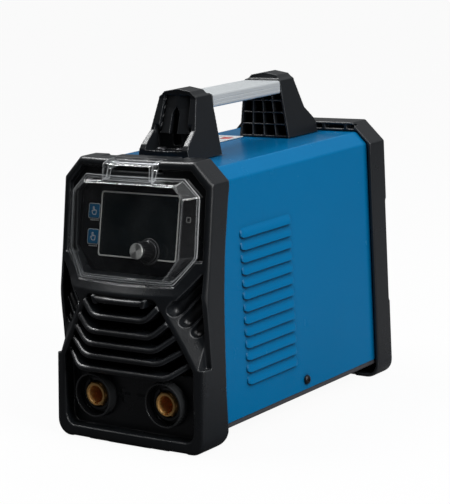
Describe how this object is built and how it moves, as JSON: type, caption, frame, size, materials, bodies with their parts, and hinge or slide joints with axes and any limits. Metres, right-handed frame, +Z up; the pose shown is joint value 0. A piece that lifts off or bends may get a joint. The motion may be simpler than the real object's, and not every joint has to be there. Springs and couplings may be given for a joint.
{
  "type": "arc welding power source",
  "caption": "Portable inverter arc-welding power source: blue sheet-metal case between black bezels, clear hinged display guard, knob, weld-cable sockets and a bar handle.",
  "frame": {"origin": "bottom centre of the overall bounding box, on the floor the bezels stand on", "axes": "+X to the object's left-to-right as seen from the front, +Y from the front bezel to the back, +Z up"},
  "size_m": [0.142, 0.298, 0.2585],
  "materials": {
    "bezel_black": "fine-textured moulded plastic",
    "bracket_black": "fine-textured moulded plastic",
    "cover_blue": "satin powder coat",
    "pan_grey": "satin powder coat",
    "tube_aluminium": "satin anodised",
    "guard_clear": "clear moulded plastic",
    "fascia_gloss": "gloss",
    "display_glass": "gloss",
    "button_blue": "satin",
    "knob_black": "satin",
    "spun_aluminium": "spun",
    "zinc_steel": "zinc plated",
    "black_steel": "blackened",
    "socket_brass": "turned",
    "socket_black": "moulded",
    "board_green": "solder mask",
    "module_grey": "moulded",
    "ferrite": "sintered",
    "copper": "enamelled copper",
    "capacitor_sleeve": "shrink sleeve",
    "fan_black": "moulded",
    "cable_rubber": "matt",
    "label_white": "printed film"
  },
  "bodies": {
    "casing": {"front_bezel": "bezel_black", "rear_bezel": "bezel_black", "top_cover": "cover_blue", "base_pan": "pan_grey", "display_fascia": "fascia_gloss", "lcd_window": "display_glass", "knob_ring": "knob_black", "control_board": "board_green", "lcd_module": "module_grey", "encoder_body": "zinc_steel", "key_switch_upper": "module_grey", "key_switch_lower": "module_grey", "guard_hinge_pin": "zinc_steel", "handle_bracket_front": "bracket_black", "handle_bracket_rear": "bracket_black", "handle_tube": "tube_aluminium", "handle_stiffener": "zinc_steel", "handle_screw_front_left": "zinc_steel", "handle_screw_front_right": "zinc_steel", "handle_screw_rear_left": "zinc_steel", "handle_screw_rear_right": "zinc_steel", "cover_screw_left": "black_steel", "cover_screw_right": "black_steel", "top_label": "label_white", "fan_frame": "fan_black", "power_switch_housing": "fan_black", "cable_gland": "fan_black", "gland_locknut": "fan_black", "mains_cable": "cable_rubber", "main_board": "board_green", "transformer_core": "ferrite", "transformer_winding": "copper", "output_choke": "copper", "capacitor_1": "capacitor_sleeve", "capacitor_2": "capacitor_sleeve", "capacitor_3": "capacitor_sleeve", "socket_housing_left": "socket_black", "socket_insert_left": "socket_brass", "socket_locknut_left": "socket_black", "busbar_left": "copper", "terminal_bolt_left": "zinc_steel", "heatsink_left": "tube_aluminium", "socket_housing_right": "socket_black", "socket_insert_right": "socket_brass", "socket_locknut_right": "socket_black", "busbar_right": "copper", "terminal_bolt_right": "zinc_steel", "heatsink_right": "tube_aluminium"},
    "clear_guard": {"clear_guard": "guard_clear"},
    "knob": {"knob": "knob_black", "knob_cap": "spun_aluminium", "encoder_shaft": "zinc_steel"},
    "button_upper": {"button_upper": "button_blue"},
    "button_lower": {"button_lower": "button_blue"},
    "power_rocker": {"power_switch_rocker": "knob_black"},
    "fan_rotor": {"fan_rotor": "fan_black"}
  },
  "joints": [
    {"name": "guard_hinge", "type": "hinge", "parent": "casing", "child": "clear_guard", "pos_m": [0, -0.1165, 0.2088], "axis": [-1, 0, 0], "range_deg": [0, 110]},
    {"name": "knob_turn", "type": "hinge", "parent": "casing", "child": "knob", "pos_m": [0.0116, -0.12196, 0.14451], "axis": [0, -0.9778, 0.2096], "continuous": true},
    {"name": "button_upper_press", "type": "slide", "parent": "casing", "child": "button_upper", "axis": [0, 0.9778, -0.2096], "range_m": [0, 0.0006]},
    {"name": "button_lower_press", "type": "slide", "parent": "casing", "child": "button_lower", "axis": [0, 0.9778, -0.2096], "range_m": [0, 0.0006]},
    {"name": "power_rocker_tilt", "type": "hinge", "parent": "casing", "child": "power_rocker", "pos_m": [0.03, 0.1145, 0.1725], "axis": [1, 0, 0], "range_deg": [0, 18]},
    {"name": "fan_spin", "type": "hinge", "parent": "casing", "child": "fan_rotor", "pos_m": [0, 0.099, 0.0825], "axis": [0, 1, 0], "continuous": true}
  ]
}
